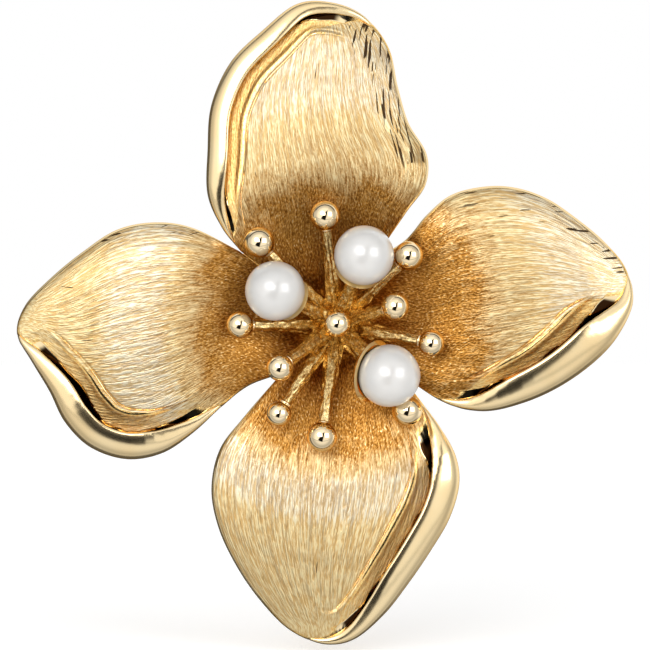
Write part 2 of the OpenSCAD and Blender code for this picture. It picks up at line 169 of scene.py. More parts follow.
class Petal:
    """One petal's outline, edge sections and surface, in the flower's own mm.

    For each step along the edge, place counts outline points, width scales the sections,
    inward points into the face, and roll is 0 where the edge is plain and 1 where it is rolled.
    """

    def __init__(self, name, steps):
        self.spec = spec = PETALS[name]
        p = np.asarray(spec["outline"], float)
        n = len(p) - 1
        self.place = s = np.linspace(0, n, steps + 1)
        a0 = math.atan2(p[0][1], p[0][0])
        a1 = math.atan2(p[n][1], p[n][0])
        if a1 > a0:
            a1 -= 2 * math.pi
        w = SLIT / 2
        ga = math.asin(w / BOSS_R)
        ang = (a0 - ga) + ((a1 + ga) - (a0 - ga)) * s / n
        self.root = BOSS_R * np.stack([np.cos(ang), np.sin(ang)], 1)
        self.edge = o = spline(p, s)
        o[0] += w * np.array([math.sin(a0), -math.cos(a0)])
        o[-1] += w * np.array([-math.sin(a1), math.cos(a1)])
        d = spline(p, np.minimum(n, s + 0.5)) - spline(p, np.maximum(0, s - 0.5))
        nrm = np.stack([d[:, 1], -d[:, 0]], 1)
        nrm /= np.linalg.norm(nrm, axis=1)[:, None]
        ends = ease(np.minimum(s, n - s) / 1.6)[:, None]
        tor = self.root - o
        tor /= np.linalg.norm(tor, axis=1)[:, None]
        dirn = tor * (1 - ends) + nrm * ends
        self.inward = dirn / np.linalg.norm(dirn, axis=1)[:, None]
        self.width = table(s, BAND[name])
        self.roll = e = np.clip(table(s, ROLL[name]), 0, 1)
        rolled = ROLL_FORM.copy()
        rolled[:, 0] += LIP_SHIFT * (spec["reach"] - ROLL_FORM[LAST_K, 0])
        forms = PLAIN_FORM[None] + (rolled - PLAIN_FORM)[None] * e[:, None, None]
        w0 = np.min(forms[:, 1:, 0] - forms[:, 1:, 2] * 0.5 * ease(e * 3)[:, None], axis=1)
        forms[:, :, 0] -= w0[:, None]
        self.forms = forms
        # bring the outermost point of every section onto the outline
        fine, tan = self.sections(np.linspace(0, LAST_K, 61))
        reach = fine[:, :, 0] * self.width[:, None] - abs(tan[..., 1]) * fine[:, :, 2] / 2
        forms[:, 1:, 0] -= (np.min(reach, axis=1) / self.width)[:, None]
        self.set_meridians(p, a0, a1)

    def set_meridians(self, p, a0, a1):
        """The petal's left and right limits by distance along its middle direction."""
        direction = math.radians(self.spec["direction"])
        self.cos, self.sin = math.cos(direction), math.sin(direction)
        dense = spline(p, np.linspace(0, len(p) - 1, 400))
        ends = [BOSS_R * np.array([[math.cos(a), math.sin(a)]]) for a in (a0, a1)]
        dense = np.vstack([ends[0], dense, ends[1]])
        along = dense[:, 0] * self.cos + dense[:, 1] * self.sin
        side = dense[:, 1] * self.cos - dense[:, 0] * self.sin
        tip = int(np.argmax(along))
        self.t_along = t = np.linspace(0, along[tip], 160)
        one = np.interp(t, np.maximum.accumulate(along[:tip + 1]), side[:tip + 1])
        two = np.interp(t, np.maximum.accumulate(along[tip:][::-1]), side[tip:][::-1])
        soft = np.hanning(17) / np.hanning(17).sum()
        self.mid = np.convolve(np.pad((one + two) / 2, 8, "edge"), soft, "valid")
        self.half = np.convolve(np.pad(abs(one - two) / 2, 8, "edge"), soft, "valid")

    def lines(self, x, y):
        """Where a point lies across the lines that run from root to tip, and their spacing."""
        a, q = x * self.cos + y * self.sin, y * self.cos - x * self.sin
        half = np.maximum(np.interp(a, self.t_along, self.half), TIP_HALF)
        return (q - np.interp(a, self.t_along, self.mid)) / half * FULL_HALF, half / FULL_HALF

    def height(self, x, y):
        """Height of the face: the common bowl, curved and leaning sideways."""
        q = y * self.cos - x * self.sin
        r = np.hypot(x, y)
        return bowl(r) - ease((r - 6) / 6) * (0.006 * q * q - self.spec["lean"] * q)

    def sections(self, k):
        """Edge sections at k, counted in form points, and their directions."""
        fine = np.stack([spline(f, k) for f in self.forms])
        tan = np.gradient(fine[:, :, :2], axis=1)
        tan = np.stack([-tan[..., 0], tan[..., 1]], -1)
        size = np.linalg.norm(tan, axis=2)[..., None]
        tan *= 1.12 / (size + 0.12 * np.median(size))
        soft = ease(k / 1.2)[None, :, None]
        return fine, np.array([1.0, 0.0]) * (1 - soft) + tan * soft

    def side(self, sign, v, k):
        """Front (1) or back (-1) grid of points, and each point's distance in from the edge.

        v runs from 0 at the centre to 1 where the edge begins, and k counts the points of a
        cross-section. The distance is in the units of the cross-sections.
        """
        fine, tan = self.sections(k)
        z, dirn = self.width[:, None], self.inward[:, None, :]
        inner = self.edge + self.inward * (self.forms[:, 0, 0] * self.width)[:, None]
        face = self.root[:, None] + (inner - self.root)[:, None] * v[None, :, None]
        face_h = self.height(face[..., 0], face[..., 1]) - (0 if sign > 0 else SHEET)
        q0 = self.edge[:, None] + dirn * (fine[:, :, 0] * z)[..., None]
        th = fine[:, :, 2] * sign / 2
        q = q0 + dirn * (tan[..., 1] * th)[..., None]
        h = (self.height(q0[..., 0], q0[..., 1]) - SHEET / 2 + fine[:, :, 1] * z
             + tan[..., 0] * th)
        grid = np.concatenate([np.concatenate([face, face_h[..., None]], 2),
                               np.concatenate([q, h[..., None]], 2)], 1)
        inset = np.linalg.norm(inner[:, None] - face, axis=2) / z + fine[:, :1, 0]
        inset = np.concatenate([inset, fine[:, :, 0]], 1)
        grid[..., 2] -= 0.4 * self.brow(inset * z) ** 2
        return grid, inset

    def brow(self, inset_mm):
        """1 at a plain edge that faces up, where the sheet bends back, to 0 well inside."""
        up = -self.inward @ UPWARD
        side = ease((up - 0.25) / 0.5) * (1 - ease(self.roll * 1.2))
        return side[:, None] * ease((4.5 - inset_mm) / 4.5)


def to_row(p):
    """Flower mm (side, up, forward) to row metres."""
    p = np.asarray(p, float)
    return np.stack([p[..., 0] + AX, AY - p[..., 2], p[..., 1] + AZ], -1) * MM


def new_mesh(name, verts, faces, flat_faces=()):
    """A smooth closed mesh with its faces turned outward."""
    me = bpy.data.meshes.new(name)
    v = np.asarray(verts)
    me.from_pydata(v.tolist(), [], faces)
    me.update()
    a, b, c, d = v[np.array([(*f, f[-1])[:4] for f in faces if len(f) <= 4])].transpose(1, 0, 2)
    if np.sum(a * (np.cross(b, c) + np.cross(c, d))) < 0:
        me.flip_normals()
    smooth = np.ones(len(faces), bool)
    smooth[list(flat_faces)] = False
    me.polygons.foreach_set("use_smooth", smooth)
    ob = bpy.data.objects.new(name, me)
    bpy.context.scene.collection.objects.link(ob)
    return ob


# ---------------------------------------------------------------- materials
class Nodes:
    """Short helpers for building a node tree."""

    def __init__(self, tree):
        self.tree = tree

    def node(self, kind, **vals):
        n = self.tree.nodes.new(kind)
        for k, v in vals.items():
            if hasattr(n, k):
                setattr(n, k, v)
            else:
                n.inputs[k.replace("_", " ")].default_value = v
        return n

    def feed(self, socket, value):
        """Links the socket to another, or sets its value."""
        if isinstance(value, bpy.types.NodeSocket):
            self.tree.links.new(value, socket)
        else:
            socket.default_value = value

    def maths(self, op, *values, clamp=False):
        n = self.node("ShaderNodeMath", operation=op, use_clamp=clamp)
        for socket, value in zip(n.inputs, values):
            self.feed(socket, value)
        return n.outputs[0]

    def add(self, a, b):
        return self.maths("ADD", a, b)

    def mul(self, a, b):
        return self.maths("MULTIPLY", a, b)

    def fade(self, value, low, high):
        """0 below low, 1 above high, smooth between; the other way round if low > high."""
        n = self.node("ShaderNodeMapRange", interpolation_type="SMOOTHSTEP")
        ends = (low, high, 0.0, 1.0) if low < high else (high, low, 1.0, 0.0)
        self.feed(n.inputs[0], value)
        for i, e in enumerate(ends):
            n.inputs[i + 1].default_value = e
        return n.outputs[0]

    def blend(self, fac, a, b):
        """Number a where fac is 0, b where it is 1."""
        n = self.node("ShaderNodeMix", data_type="FLOAT")
        for socket, value in zip((n.inputs[0], n.inputs[2], n.inputs[3]), (fac, a, b)):
            self.feed(socket, value)
        return n.outputs[0]

    def tint(self, fac, a, b):
        """Colour a where fac is 0, b where it is 1."""
        n = self.node("ShaderNodeMix", data_type="RGBA")
        self.feed(n.inputs[0], fac)
        for socket, value in ((n.inputs[6], a), (n.inputs[7], b)):
            self.feed(socket, (*value, 1) if isinstance(value, tuple) else value)
        return n.outputs[2]

    def split(self, vector):
        n = self.node("ShaderNodeSeparateXYZ")
        self.feed(n.inputs[0], vector)
        return n.outputs[0], n.outputs[1], n.outputs[2]

    def join(self, x, y, z=0.0):
        n = self.node("ShaderNodeCombineXYZ")
        for socket, value in zip(n.inputs, (x, y, z)):
            self.feed(socket, value)
        return n.outputs[0]

    def noise(self, vector, scale, detail=2.0, rough=0.5):
        n = self.node("ShaderNodeTexNoise", Scale=scale, Detail=detail, Roughness=rough)
        self.feed(n.inputs["Vector"], vector)
        return n.outputs["Fac"]

    def bump(self, height, strength, distance):
        n = self.node("ShaderNodeBump", Strength=strength, Distance=distance)
        self.feed(n.inputs["Height"], height)
        return n.outputs[0]


class Gloss(Nodes):
    """A material with a Principled shader."""

    def __init__(self, name, **vals):
        self.mat = bpy.data.materials.new(name)
        self.mat.use_nodes = True
        super().__init__(self.mat.node_tree)
        self.bsdf = next(n for n in self.tree.nodes if n.type == "BSDF_PRINCIPLED")
        for k, v in vals.items():
            self.bsdf.inputs[k.replace("_", " ")].default_value = v

    def out(self, **vals):
        for k, v in vals.items():
            self.feed(self.bsdf.inputs[k.replace("_", " ")], v)
        return self.mat


# colours of gold, the painted shade for the slit under the lip and for the dark streaks, and the
# tint of gold at grazing angles
POLISHED = (0.97, 0.77, 0.45)
WARM = (1.0, 0.72, 0.33)
SHADE_BLACK = (0.03, 0.012, 0.004)
EDGE = (1.0, 0.80, 0.50, 1)
# colours of the cuts and of the ridges between them, by zone of a petal's front
# the cuts are painted darker than the ridges, as painted shade in the grooves; the inner zone is
# painted darker and more orange, as shade and reflected gold near the centre
INNER_TONES = ((0.22, 0.08, 0.01), (0.70, 0.34, 0.07))
OUTER_TONES = ((0.74, 0.48, 0.19), (1.0, 0.84, 0.48))
# lighter tones of the painted highlight band
PAINTED_HIGHLIGHT_TONES = ((0.78, 0.56, 0.28), (1.0, 0.92, 0.70))
TROUGH_TONES = ((0.85, 0.50, 0.16), (1.0, 0.72, 0.30))
# light specks of the painted glints
PAINTED_GLINT = (1.0, 0.84, 0.48)
# painted shade in thin cut lines
THIN_CUT_SHADE = (0.25, 0.11, 0.025)
PEARL_TONES = ((0.57, 0.56, 0.54), (0.62, 0.605, 0.58))
# black, towards which painted shade darkens a face
BLACK = (0.0, 0.0, 0.0)


def smooth_gold(name, base, tint, rough, mark):
    """Polished gold: faint wiping marks, slightly uneven gloss and colour."""
    m = Gloss(name, Metallic=1.0, Specular_Tint=EDGE)
    co = m.node("ShaderNodeTexCoord").outputs["Object"]
    cloud = m.noise(co, 260.0, 2.0)
    marks = m.noise(co, 1400.0, 3.0)
    return m.out(Base_Color=m.tint(m.fade(cloud, 0.3, 0.75), base, tint),
                 Roughness=m.maths("MULTIPLY_ADD", cloud, 0.05, rough),
                 Normal=m.bump(marks, mark, 0.00001))


def textured_gold(name, base, hollow_shade, scale, depth, rough):
    """Gold with a fine cast and scratched texture that glitters, painted darker mostly where it is
    low, as shade in its hollows.
    """
    m = Gloss(name, Metallic=1.0, Specular_Tint=EDGE)
    co = m.node("ShaderNodeTexCoord").outputs["Object"]
    grit = m.noise(co, scale, 3.0, 0.6)
    cloud = m.noise(co, scale * 0.2, 2.0)
    mix = m.add(m.mul(grit, 0.7), m.mul(cloud, 0.3))
    # the low spots of the texture are painted darker, as painted shade in its hollows
    return m.out(Base_Color=m.tint(m.fade(mix, 0.36, 0.62), hollow_shade, base),
                 Roughness=m.maths("MULTIPLY_ADD", grit, -0.15, rough + 0.07),
                 Normal=m.bump(grit, 1.0, depth))


def engraved_gold(name):
    """A petal's front: lines cut from root to tip, a stippled inner part painted darker as shade,
    polished edges.

    UV map "lines" is (across, radius) in mm. "zone" is (line spacing, polish), and polish is 0
    on the engraved face, 1 on a polished edge, 2 in the slit and line painted dark as shade, and
    below 0 where streaks, cut in and painted dark as shade, run in from an edge. "band" is (1 in
    the middle of the painted highlight band, the painted shade that darkens the face).
    """
    m = Gloss(name, Metallic=1.0, Specular_Tint=EDGE)
    u, v, _ = m.split(m.node("ShaderNodeUVMap", uv_map="lines").outputs[0])
    gap, polish, _ = m.split(m.node("ShaderNodeUVMap", uv_map="zone").outputs[0])
    band, painted_shade, _ = m.split(m.node("ShaderNodeUVMap", uv_map="band").outputs[0])

    def strokes(width, length, seed):
        place = m.join(m.mul(u, 1 / width), m.mul(v, 1 / length), seed)
        return m.noise(place, 1.0, 1.0)

    narrow = m.blend(m.fade(gap, 0.30, 0.55), strokes(0.4, 0.9, 2.0), strokes(0.24, 1.0, 5.0))
    fine = m.blend(m.fade(gap, 0.60, 0.90), narrow, strokes(0.16, 1.6, 1.0))
    hair = m.blend(m.fade(gap, 0.45, 0.80), strokes(0.2, 0.4, 17.0), strokes(0.11, 0.6, 11.0))
    broad = strokes(0.4, 6.0, 9.0)
    true_u = m.mul(u, gap)
    stipple = m.noise(m.join(m.mul(true_u, 1 / 0.13), m.mul(v, 1 / 0.24), 3.0), 1.0, 1.0)
    patches = m.noise(m.join(m.mul(true_u, 1 / 3.0), m.mul(v, 1 / 2.0), 6.0), 1.0, 1.0)
    lines = m.add(m.mul(fine, 0.55), m.mul(hair, 0.45))

    # the inner part, stippled and painted darker as shade, ends at a ragged line near the crest
    ragged = m.add(v, m.add(m.mul(m.add(lines, -0.5), 7.0), m.mul(m.add(patches, -0.5), 6.0)))
    outer = m.fade(ragged, 9.4, 15.4)
    # painted highlight: a lighter band across the face, where the crest would catch the light
    painted_highlight_mask = m.fade(m.add(band, m.mul(m.add(lines, -0.5), 0.9)), 0.25, 0.8)
    ridge = m.fade(m.add(m.mul(lines, 0.85), m.mul(broad, 0.15)), 0.40, 0.60)

    # thin lines painted dark along the strokes, as painted shade in fine cuts, where a noise crosses
    # its middle
    middle = m.maths("ABSOLUTE", m.add(strokes(0.20, 5.0, 21.0), -0.5))
    thin = m.mul(m.fade(middle, 0.07, 0.02), m.fade(fine, 0.3, 0.5))
    thin = m.mul(thin, m.fade(gap, 0.30, 0.60))
    dots = m.fade(stipple, 0.40, 0.62)
    cut = m.blend(outer, m.add(m.mul(dots, 0.6), m.mul(ridge, 0.4)), ridge)
    # painted glints: specks painted lighter as highlights, where the roughness also drops
    glint = m.mul(m.fade(stipple, 0.58, 0.70), m.fade(hair, 0.45, 0.60))
    # streaks, cut in and painted near-black as shade and dark reflection, most where a plain edge
    # faces up
    brow = m.fade(polish, 0.0, -0.9)
    gashes = m.noise(m.join(m.mul(true_u, 1 / 0.26), m.mul(v, 1 / 2.4), 14.0), 1.0, 1.0)
    slit_noise = m.add(gashes, m.mul(brow, -0.2))
    cut_and_painted_streaks = m.mul(m.fade(slit_noise, 0.24, 0.21), outer)
    # painted shade in the slit under the lip and along the line that borders the face
    slit_shade = m.fade(polish, 1.25, 1.75)

    # cuts painted darker than ridges as shade, the inner part darker still as shade
    inner_tone = m.tint(cut, *INNER_TONES)
    outer_tone = m.tint(cut, *OUTER_TONES)
    painted_highlight_tone = m.tint(cut, *PAINTED_HIGHLIGHT_TONES)
    face = m.tint(outer, inner_tone, m.tint(painted_highlight_mask, outer_tone, painted_highlight_tone))
    face = m.tint(m.mul(glint, 0.6), face, PAINTED_GLINT)
    # painted shade: each petal's face darkened towards black by its own amount
    face = m.tint(painted_shade, face, BLACK)
    face = m.tint(m.mul(m.mul(thin, 0.5), outer), face, THIN_CUT_SHADE)
    face = m.tint(m.mul(cut_and_painted_streaks, 0.95), face, SHADE_BLACK)
    trough = m.tint(m.fade(stipple, 0.35, 0.6), *TROUGH_TONES)
    shine = m.tint(m.fade(polish, 0.72, 0.95), trough, POLISHED)
    tone = m.tint(m.fade(polish, 0.05, 0.25), face, shine)
    tone = m.tint(slit_shade, tone, SHADE_BLACK)

    relief = m.add(m.mul(cut, 0.7), m.add(m.mul(broad, 0.4), m.mul(stipple, 0.3)))
    relief = m.add(relief, m.mul(cut_and_painted_streaks, -1.2))
    relief = m.mul(relief, m.fade(polish, 0.7, 0.05))
    rough = m.blend(outer, 0.38, 0.44)
    rough = m.add(rough, m.mul(glint, -0.08))
    rough = m.blend(m.fade(polish, 0.05, 0.95), rough, 0.05)
    return m.out(Base_Color=tone, Roughness=rough, Normal=m.bump(relief, 1.0, 0.00002))


def nacre():
    """Pearl: soft body under a thin glossy skin, with a faint warm and cool drift."""
    m = Gloss("pearl_nacre", Subsurface_Weight=0.12, Subsurface_Radius=(0.0012, 0.001, 0.0008),
              IOR=1.7, Coat_Weight=1.0, Coat_IOR=1.9, Coat_Roughness=0.22)
    co = m.node("ShaderNodeTexCoord").outputs["Object"]
    drift = m.noise(co, 300.0, 2.0)
    skin = m.noise(co, 1500.0, 2.0)
    tone = m.tint(m.fade(drift, 0.3, 0.7), *PEARL_TONES)
    return m.out(Base_Color=tone, Roughness=m.maths("MULTIPLY_ADD", drift, 0.08, 0.28),
                 Normal=m.bump(skin, 0.1, 0.00001))


M_ENGRAVED = engraved_gold("gold_engraved")
M_RIM = smooth_gold("gold_rim", POLISHED, (0.94, 0.71, 0.38), rough=0.16, mark=0.05)
M_BACK = textured_gold("gold_satin_back", WARM, (0.88, 0.62, 0.27), scale=3200.0,
                       depth=0.00001, rough=0.2)
M_BEAD = smooth_gold("gold_bead", (1.0, 0.82, 0.54), (1.0, 0.80, 0.50), rough=0.02, mark=0.03)
M_FITTING = smooth_gold("gold_fitting", (1.0, 0.80, 0.46), (0.98, 0.74, 0.38), rough=0.10,
                        mark=0.2)
M_STEM = textured_gold("gold_stem", (0.94, 0.72, 0.35), (0.44, 0.28, 0.10), scale=4200.0,
                       depth=0.00002, rough=0.25)
M_CENTRE = textured_gold("gold_centre", (0.90, 0.70, 0.35), (0.42, 0.27, 0.10), scale=3600.0,
                         depth=0.00003, rough=0.22)
M_PEARL = nacre()

# ---------------------------------------------------------------- petals
# steps along a petal's outline, and rows over its face (V) and over its edge section (K)
STEPS = 400
FRONT_V = 1 - (1 - np.linspace(0, 1, 105)[:-1]) ** 1.35
FRONT_K = np.linspace(0, LAST_K, 61)
BACK_V, BACK_K = np.linspace(0, 1, 25)[:-1], np.linspace(0, LAST_K, 25)
# how many of the back's rows, from the edge in, are polished
RIM_ROWS = 18
# the edge section's point where polish starts, on a plain edge and on a rolled one
PLAIN_START, ROLLED_START = 6.9, 0.1
# how far in from a rolled edge the raised ridge and the groove that border it lie, in the
# units of the cross-sections
RIDGE_IN, GROOVE_IN = 3.55, 4.03
# half width of a petal at its widest, and the least that its cut lines draw together to
FULL_HALF, TIP_HALF = 9.5, 3.6


def polish_of(petal):
    """0 on the engraved face to 1 on the polished edge, over the front grid."""
    k = np.concatenate([np.full(len(FRONT_V), -1.0), FRONT_K])[None, :]
    s = petal.place[:, None]
    wander = 0.5 * (grain(s * 3.0, s * 0.0, 11) - 0.5)
    e = petal.roll[:, None]
    start = PLAIN_START + (ROLLED_START - PLAIN_START) * ease(e * 1.5 - 0.15)
    start = start + wander * (1 - e)
    part = ease(e / 0.1) * (1 - ease((e - 0.7) / 0.25))
    edge = ease((k - start) / 0.35) * (1 - 0.5 * part)
    trough = ease((k - 0.3) / 0.4) * (1 - ease((k - 4.5) / 0.4)) * ease(e * 2 - 0.6)
    return edge * (1 - trough * (1 - petal.spec["gloss"]))


def slit_shade_of(petal, inset):
    """1 in the slit under the rolled lip and in the line that borders the face, both painted dark as
    shade.
    """
    e = ease(petal.roll * 3 - 1.2)[:, None]
    s = petal.place[:, None]
    k = np.concatenate([np.full(len(FRONT_V), -1.0), FRONT_K])[None, :]
    wander = grain(s * 2.2, s * 0.0, 15)
    spec = petal.spec
    wide = (spec["reach"] - 0.1 + 0.2 * wander
            + spec["slit_more"] * np.exp(-((s - spec["slit_at"]) / 0.9) ** 2))
    under = ease((wide - inset) / 0.2) * (k < 4.6)
    border = 0.7 * np.exp(-((inset - GROOVE_IN) / 0.07) ** 2) * ease(wander * 3 - 1.0)
    return np.clip(under + border, 0, 1) * e


def add_petal(name, seed):
    """A petal's whole skin: its engraved front, its edge and its back."""
    petal = Petal(name, STEPS)
    front, inset = petal.side(1, FRONT_V, FRONT_K)
    back, _ = petal.side(-1, BACK_V, BACK_K)
    polish = polish_of(petal)
    across, gap = petal.lines(front[..., 0], front[..., 1])
    radius = np.hypot(front[..., 0], front[..., 1])

    # cut lines and soft folds in the face, and the ridge that borders a rolled edge
    cut = (0.025 * (grain(across / 1.9, radius / 16, seed) - 0.5)
           + 0.015 * (grain(across / 0.8, radius / 9, seed + 1) - 0.5)
           + 0.025 * (grain(across / 0.36, radius / 3, seed + 2) - 0.5))
    front[..., 2] += cut * gap * (1 - polish) * ease((radius - 2.5) / 1.5)
    ridge = (0.14 * np.exp(-((inset - RIDGE_IN) / 0.26) ** 2)
             - 0.14 * np.exp(-((inset - GROOVE_IN) / 0.12) ** 2))
    front[..., 2] += ridge * (petal.width * ease(petal.roll * 1.5 - 0.3))[:, None]

    nf, nb = front.shape[1], back.shape[1]
    g = nf + nb
    ring = np.concatenate([front, back[:, ::-1]], 1)
    faces, mats = [], []
    for j in range(STEPS):
        for k in range(g):
            a, b = j * g + k, j * g + (k + 1) % g
            faces.append((a, a + g, b + g, b))
            mats.append(0 if k < nf - 1 else (1 if k < nf + RIM_ROWS else 2))
    last = STEPS * g
    faces += [tuple(range(g)), tuple(range(last + g - 1, last - 1, -1))]
    mats += [2, 2]
    ob = new_mesh("petal_" + name + "_skin", to_row(ring.reshape(-1, 3)), faces,
                  (len(faces) - 2, len(faces) - 1))
    me = ob.data
    for mat in (M_ENGRAVED, M_RIM, M_BACK):
        me.materials.append(mat)
    me.polygons.foreach_set("material_index", mats)

    index = np.zeros(len(me.loops), dtype=np.int32)
    me.loops.foreach_get("vertex_index", index)
    rest = np.zeros((STEPS + 1, nb))
    spec = petal.spec
    # below 0 where streaks, cut in and painted dark as shade, run in from a plain edge that faces up
    brow = spec["marks"] * petal.brow(inset * petal.width[:, None])
    zone = polish - brow * (1 - ease(polish * 20))
    # 2 where the slit under the lip and the bordering line are painted dark as shade
    zone = zone + (2 - zone) * slit_shade_of(petal, inset)
    # where the painted highlight band lies across the face
    band = np.exp(-((radius - spec["highlight_at"]) / spec["highlight_half"]) ** 2)
    for layer, one, two in (("lines", across, radius - spec["inner"]), ("zone", gap, zone),
                            ("band", band, np.full_like(band, spec["painted_shade"]))):
        pair = np.stack([np.concatenate([one, rest], 1), np.concatenate([two, rest], 1)], 2)
        me.uv_layers.new(name=layer).data.foreach_set("uv", pair.reshape(-1, 2)[index].ravel())
    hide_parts("petal_" + name)
    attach(ob, "brooch")


for i, petal_name in enumerate(PETALS):
    add_petal(petal_name, 20 + 5 * i)

# ---------------------------------------------------------------- stamens, beads and pearls
# side, up, forward place of the head's middle, its diameter, distance of the seat from the axis,
# and the stem's bend, as in the CAD
STAMENS = [(-6.4, 6.7, 6.3, 2.5, 1.75, 12), (-1, 8.9, 6.1, 2.45, 1.75, 13),
           (5.9, 5.6, 6, 2.4, 1.75, 12), (4.75, 1.4, 7.4, 2.2, 1.1, 9),
           (7.75, -1.6, 6, 2.15, 1.75, 13), (0, 0, 8, 2.15, 0, 0),
           (-8, -0.1, 6, 2.25, 1.75, 13), (-4.7, -3.6, 7.4, 2.2, 1.1, 10),
           (-4.8, -7.4, 6, 2.05, 1.75, 13), (-1.25, -9.3, 6.2, 2.45, 1.75, 13),
           (5.8, -7.2, 5.3, 2.5, 1.95, 1.5)]
PEARLS = [(-5.1, 2.7, 7.3, 4.9, 1.1, 4), (2.2, 5.6, 7.3, 4.9, 1.1, 4),
          (4.25, -4.25, 7.4, 5.1, 0.95, 13)]


# the stems: how far they start inside the dome, how far they end inside a bead, and the foot's
# radius; then the centre's underside, and its shank's radius and end, in mm
STEM_SINK, STEM_LAP, STEM_FOOT_R = 0.35, 0.12, 0.90
BOSS_FOOT, SHANK_R, SHANK_END = -0.6, 0.8, -3.1


def dome_h(r):
    """Height of the centre's dome at a distance from the axis."""
    return math.sqrt(DOME_R ** 2 - r * r) - 1


def stem_line(head):
    """The stem's length and a function that gives place and direction at a distance along it."""
    x, y, h, _, seat, bent = head
    far = math.hypot(x, y)
    if far < 0.01:
        start = dome_h(0)
        return h - start, lambda t: (np.array([0, 0, start + t]), np.array([0, 0, 1.0]))
    out = np.array([x / far, y / far])
    chord = (far - seat, h - dome_h(seat))
    half = math.radians(bent)
    r = math.hypot(*chord) / (2 * math.sin(half))
    a = math.atan2(chord[1], chord[0]) + half

    def at(t):
        b = a - t / r
        run = seat + r * (math.sin(a) - math.sin(b))
        rise = dome_h(seat) + r * (math.cos(b) - math.cos(a))
        return (np.array([*(out * run), rise]),
                np.array([*(out * math.cos(b)), math.sin(b)]))
    return 2 * half * r, at


def cross_axes(axis):
    """Two directions square to the axis and to each other."""
    helper = np.array([0.31, 0.95, 0.05])
    one = np.cross(axis, helper)
    one /= np.linalg.norm(one)
    return one, np.cross(axis, one)


def tube(rings):
    """Verts and faces through rings of points, with a fan at both ends."""
    n = len(rings[0])
    verts = [p for r in rings for p in r]
    faces = [(i * n + j, i * n + (j + 1) % n, (i + 1) * n + (j + 1) % n, (i + 1) * n + j)
             for i in range(len(rings) - 1) for j in range(n)]
    for ring, turn in ((0, -1), (len(rings) - 1, 1)):
        verts.append(np.mean(rings[ring], axis=0))
        hub = len(verts) - 1
        for j in range(n):
            pair = (ring * n + j, ring * n + (j + 1) % n)
            faces.append((hub, *pair[::turn]))
    return verts, faces


def finish_piece(name, verts, faces, mat, node):
    """Makes a piece of the fixed body, which takes the place of a CAD node."""
    ob = new_mesh(name, to_row(verts), faces)
    ob.data.materials.append(mat)
    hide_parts(node)
    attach(ob, "brooch")


def lathe(profile, origin, axis, around, lumps=0.0, seed=0):
    """Turns a profile of (radius, height) about the axis through origin, slightly uneven."""
    one, two = cross_axes(axis)
    rings = []
    ang = np.linspace(0, 2 * math.pi, around, endpoint=False)
    for r, h in profile:
        wave = grain(np.cos(ang) * 1.5 + 9, np.sin(ang) * 1.5 + 9 + h * 0.8, seed) - 0.5
        rr = (r * (1 + lumps * wave))[:, None]
        rings.append(origin + axis * h + (one * np.cos(ang)[:, None]
                                          + two * np.sin(ang)[:, None]) * rr)
    return tube(rings)


def ball_profile(r, low_angle, rows):
    """A ball from just off its far pole to low_angle from its near pole."""
    ang = np.linspace(math.radians(2), math.pi - math.radians(low_angle), rows)
    return [(r * math.sin(a), r * math.cos(a)) for a in ang]


def add_stem(head, node, tip_r, seed):
    """A tapered stem with ribs and a hammered surface, flared where it grows from the centre."""
    length, at = stem_line(head)
    stop = length - head[3] / 2 + STEM_LAP
    around, rows = 40, 56
    ribs = 5 + seed % 3
    rings = []
    for i in range(rows + 1):
        f = i / rows
        place, axis = at(-STEM_SINK + (stop + STEM_SINK) * f)
        one, two = cross_axes(axis)
        ang = np.linspace(0, 2 * math.pi, around, endpoint=False)
        r = tip_r + (STEM_FOOT_R - tip_r) * (1 - f) ** 1.7
        rib = 0.11 * np.cos(ribs * ang + seed + 0.9 * f) * (1 - 0.6 * f)
        chip = 0.22 * (grain(ang * 2.6, np.full(around, f * length * 1.7), seed) - 0.5)
        chip += 0.14 * (grain(ang * 5.1, np.full(around, f * length * 3.9), seed + 1) - 0.5)
        rr = (r * (1 + rib + chip))[:, None]
        rings.append(place + (one * np.cos(ang)[:, None] + two * np.sin(ang)[:, None]) * rr)
    verts, faces = tube(rings)
    finish_piece(node + "_skin", verts, faces, M_STEM, node)


def add_bead(head, node, seed):
    """A polished ball with the small collar that joins it to its stem."""
    length, at = stem_line(head)
    r = head[3] / 2
    _, axis = at(length)
    profile = ball_profile(r, 30, 44)
    neck = profile[-1][1]
    profile += [(0.56, neck - 0.02), (0.58, neck - 0.09), (0.54, neck - 0.16),
                (0.48, neck - 0.22), (0.42, neck - 0.24)]
    verts, faces = lathe(profile, np.array(head[:3]), axis, 64, 0.004, seed)
    finish_piece(node + "_ball", verts, faces, M_BEAD, node)


def add_pearl(head, node, seed):
    """A pearl, very slightly out of round, with the chamfered mouth of its drilled hole."""
    length, at = stem_line(head)
    r = head[3] / 2
    _, axis = at(length)
    profile = ball_profile(r, 14, 60)
    mouth = profile[-1][1]
    profile += [(0.52, mouth + 0.03), (0.42, mouth + 0.16), (0.40, mouth + 0.6)]
    verts, faces = lathe(profile, np.array(head[:3]), axis, 96, 0.012, seed)
    finish_piece(node + "_nacre", verts, faces, M_PEARL, node)


for i, head in enumerate(STAMENS):
    tag = "%02d" % (i + 1)
    add_stem(head, "stamen_" + tag, 0.44, 40 + 3 * i)
    add_bead(head, "bead_" + tag, 90 + i)
for i, head in enumerate(PEARLS):
    add_stem(head, "pearl_stem_" + "abc"[i], 0.48, 80 + 3 * i)
    add_pearl(head, "pearl_" + "abc"[i], 120 + i)


